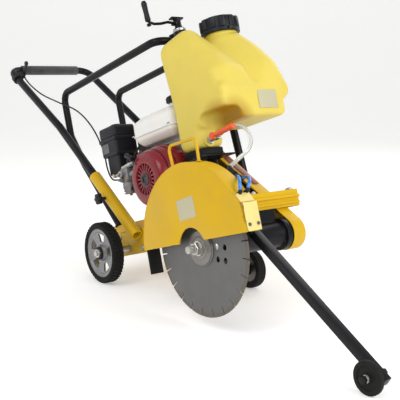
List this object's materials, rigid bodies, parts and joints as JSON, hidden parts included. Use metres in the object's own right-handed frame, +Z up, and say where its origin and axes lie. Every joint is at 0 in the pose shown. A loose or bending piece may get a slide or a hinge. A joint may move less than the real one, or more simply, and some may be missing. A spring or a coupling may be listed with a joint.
{
  "type": "walk-behind concrete saw",
  "caption": "Small petrol walk-behind saw: deck on wheels, side blade under a guard, water tank, depth crank, folding handle and pointer arm.",
  "frame": {"origin": "centre of the bounding box at floor level, where the rear tyres and guide wheel rest", "axes": "+X forward in the cutting direction, +Y to the operator's left, +Z up"},
  "size_m": [1.8979, 0.59, 0.8446],
  "materials": {
    "yellow_paint": "semi-gloss paint over sheet steel, chipped at edges",
    "yellow_plastic": "moulded polyethylene, matt",
    "black_paint": "satin black paint on steel",
    "black_plastic": "fine-textured black plastic",
    "red_paint": "dark red enamel on pressed steel",
    "bright_steel": "turned steel, light oil film",
    "blade_steel": "dark rolled steel with dust",
    "alloy": "die-cast aluminium",
    "rim_metal": "silver-grey paint on pressed steel",
    "tyre": "black tread rubber",
    "rubber": "black rubber",
    "foam": "closed-cell foam grip",
    "cream_plastic": "off-white fuel tank",
    "clear_hose": "clear vinyl tube",
    "blue_hose": "blue nylon tube",
    "brass": "brass tap",
    "red_plastic": "orange-red lever",
    "exhaust": "heat-darkened steel"
  },
  "bodies": {
    "frame": {"deck": "yellow_paint", "axle_boxes": "yellow_paint", "rear_axle": "bright_steel", "axle_nuts": "bright_steel", "handle_sockets": "yellow_paint", "hoop_frame": "black_paint", "screw_column": "black_paint", "tank_shelf": "black_paint", "water_tank": "yellow_plastic", "tap_body": "brass", "clear_hose": "clear_hose", "hose_splitter": "black_plastic", "blue_hose_near": "blue_hose", "blue_hose_far": "blue_hose", "blade_guard": "yellow_paint", "guard_arm": "black_paint", "guard_bail": "yellow_paint", "splash_flap": "rubber", "bearing_housing": "black_paint", "belt_guard": "yellow_paint", "crankcase": "alloy", "cylinder_head": "alloy", "fan_shroud": "red_paint", "recoil_cover": "red_paint", "fuel_tank": "cream_plastic", "air_cleaner": "black_plastic", "carburettor": "alloy", "muffler": "exhaust", "spark_plug_cap": "rubber", "engine_bolts": "bright_steel", "drive_belt": "rubber"},
    "handle": {"handlebar": "black_paint", "foam_grip": "foam", "throttle_clamp": "black_plastic", "throttle_cable": "black_plastic"},
    "throttle_lever": {"throttle_lever": "black_plastic"},
    "knob_right": {"knob_right": "black_plastic"},
    "knob_left": {"knob_left": "black_plastic"},
    "rear_wheel_right": {"rear_tyre_right": "tyre", "rear_rim_right": "rim_metal"},
    "rear_wheel_left": {"rear_tyre_left": "tyre", "rear_rim_left": "rim_metal"},
    "carriage": {"carriage_frame": "black_paint"},
    "front_wheel_right": {"front_wheel_right": "rubber"},
    "front_wheel_left": {"front_wheel_left": "rubber"},
    "crank": {"crank_screw": "black_paint"},
    "crank_grip": {"crank_grip": "black_plastic"},
    "push_rod": {"push_rod": "bright_steel"},
    "spindle": {"spindle_shaft": "bright_steel", "blade": "blade_steel", "blade_flanges": "bright_steel", "driven_pulley": "bright_steel"},
    "crankshaft": {"drive_pulley": "bright_steel"},
    "pointer": {"pointer_bar": "black_paint"},
    "guide_wheel": {"guide_wheel": "rubber"},
    "tap_lever": {"tap_lever": "red_plastic"},
    "tank_cap": {"tank_cap": "black_plastic"},
    "fuel_cap": {"fuel_cap": "black_plastic"},
    "starter_grip": {"recoil_grip": "black_plastic"},
    "choke_lever": {"choke_lever": "bright_steel"}
  },
  "joints": [
    {"name": "handle_slide", "type": "slide", "parent": "frame", "child": "handle", "axis": [-0.8398, 0, 0.5428], "range_m": [-0.05, 0.1], "deforming": ["throttle_cable"]},
    {"name": "throttle_hinge", "type": "hinge", "parent": "handle", "child": "throttle_lever", "pos_m": [-0.87108, -0.117, 0.63372], "axis": [0, 1, 0], "range_deg": [-20, 35]},
    {"name": "knob_right_turn", "type": "hinge", "parent": "frame", "child": "knob_right", "pos_m": [-0.2199, -0.162, 0.24761], "axis": [0, 1, 0], "continuous": true},
    {"name": "knob_left_turn", "type": "hinge", "parent": "frame", "child": "knob_left", "pos_m": [-0.2199, 0.208, 0.24761], "axis": [0, 1, 0], "continuous": true},
    {"name": "rear_wheel_right_spin", "type": "hinge", "parent": "frame", "child": "rear_wheel_right", "pos_m": [-0.1413, -0.218, 0.094], "axis": [0, 1, 0], "continuous": true},
    {"name": "rear_wheel_left_spin", "type": "hinge", "parent": "frame", "child": "rear_wheel_left", "pos_m": [-0.1413, 0.264, 0.094], "axis": [0, 1, 0], "continuous": true},
    {"name": "carriage_tilt", "type": "hinge", "parent": "frame", "child": "carriage", "pos_m": [0.00022, 0.023, 0.14471], "axis": [0, -1, 0], "range_deg": [0, 25]},
    {"name": "front_wheel_right_spin", "type": "hinge", "parent": "carriage", "child": "front_wheel_right", "pos_m": [0.18297, -0.088, 0.058], "axis": [0, 1, 0], "continuous": true},
    {"name": "front_wheel_left_spin", "type": "hinge", "parent": "carriage", "child": "front_wheel_left", "pos_m": [0.18297, 0.094, 0.058], "axis": [0, 1, 0], "continuous": true},
    {"name": "crank_turn", "type": "hinge", "parent": "frame", "child": "crank", "pos_m": [-0.01695, -0.017, 0.76994], "axis": [-0.3811, 0, 0.9245], "range_deg": [-1800, 0]},
    {"name": "crank_grip_turn", "type": "hinge", "parent": "crank", "child": "crank_grip", "pos_m": [-0.03219, -0.122, 0.80692], "axis": [-0.3811, 0, 0.9245], "continuous": true},
    {"name": "push_rod_slide", "type": "slide", "parent": "frame", "child": "push_rod", "axis": [-0.3811, 0, 0.9245], "range_m": [0, 0.103]},
    {"name": "spindle_spin", "type": "hinge", "parent": "frame", "child": "spindle", "pos_m": [0.38598, 0.023, 0.20677], "axis": [0, 1, 0], "continuous": true},
    {"name": "crankshaft_spin", "type": "hinge", "parent": "frame", "child": "crankshaft", "pos_m": [0.03966, 0.023, 0.33479], "axis": [0, 1, 0], "continuous": true},
    {"name": "pointer_fold", "type": "hinge", "parent": "frame", "child": "pointer", "pos_m": [0.52504, -0.215, 0.27341], "axis": [0, -1, 0], "range_deg": [0, 100]},
    {"name": "guide_wheel_spin", "type": "hinge", "parent": "pointer", "child": "guide_wheel", "pos_m": [0.91292, -0.247, 0.036], "axis": [0, 1, 0], "continuous": true},
    {"name": "tap_turn", "type": "hinge", "parent": "frame", "child": "tap_lever", "pos_m": [0.25075, -0.106, 0.46978], "axis": [0, 1, 0], "range_deg": [0, 90]},
    {"name": "tank_cap_turn", "type": "hinge", "parent": "frame", "child": "tank_cap", "pos_m": [0.08931, 0.053, 0.76276], "axis": [-0.274, 0, 0.9617], "range_deg": [0, 720]},
    {"name": "fuel_cap_turn", "type": "hinge", "parent": "frame", "child": "fuel_cap", "pos_m": [0.02225, -0.063, 0.5565], "axis": [-0.274, 0, 0.9617], "range_deg": [0, 90]},
    {"name": "starter_pull", "type": "slide", "parent": "frame", "child": "starter_grip", "axis": [0.2436, 0, 0.9699], "range_m": [0, 0.5]},
    {"name": "choke_turn", "type": "hinge", "parent": "frame", "child": "choke_lever", "pos_m": [-0.17216, -0.132, 0.32644], "axis": [0, 1, 0], "range_deg": [-30, 30]}
  ],
  "couplings": [
    {"joint": "push_rod_slide", "follows": "carriage_tilt", "m_per_rad": 0.23147},
    {"joint": "crank_turn", "follows": "carriage_tilt", "ratio": -72},
    {"joint": "crankshaft_spin", "follows": "spindle_spin", "ratio": 1}
  ]
}
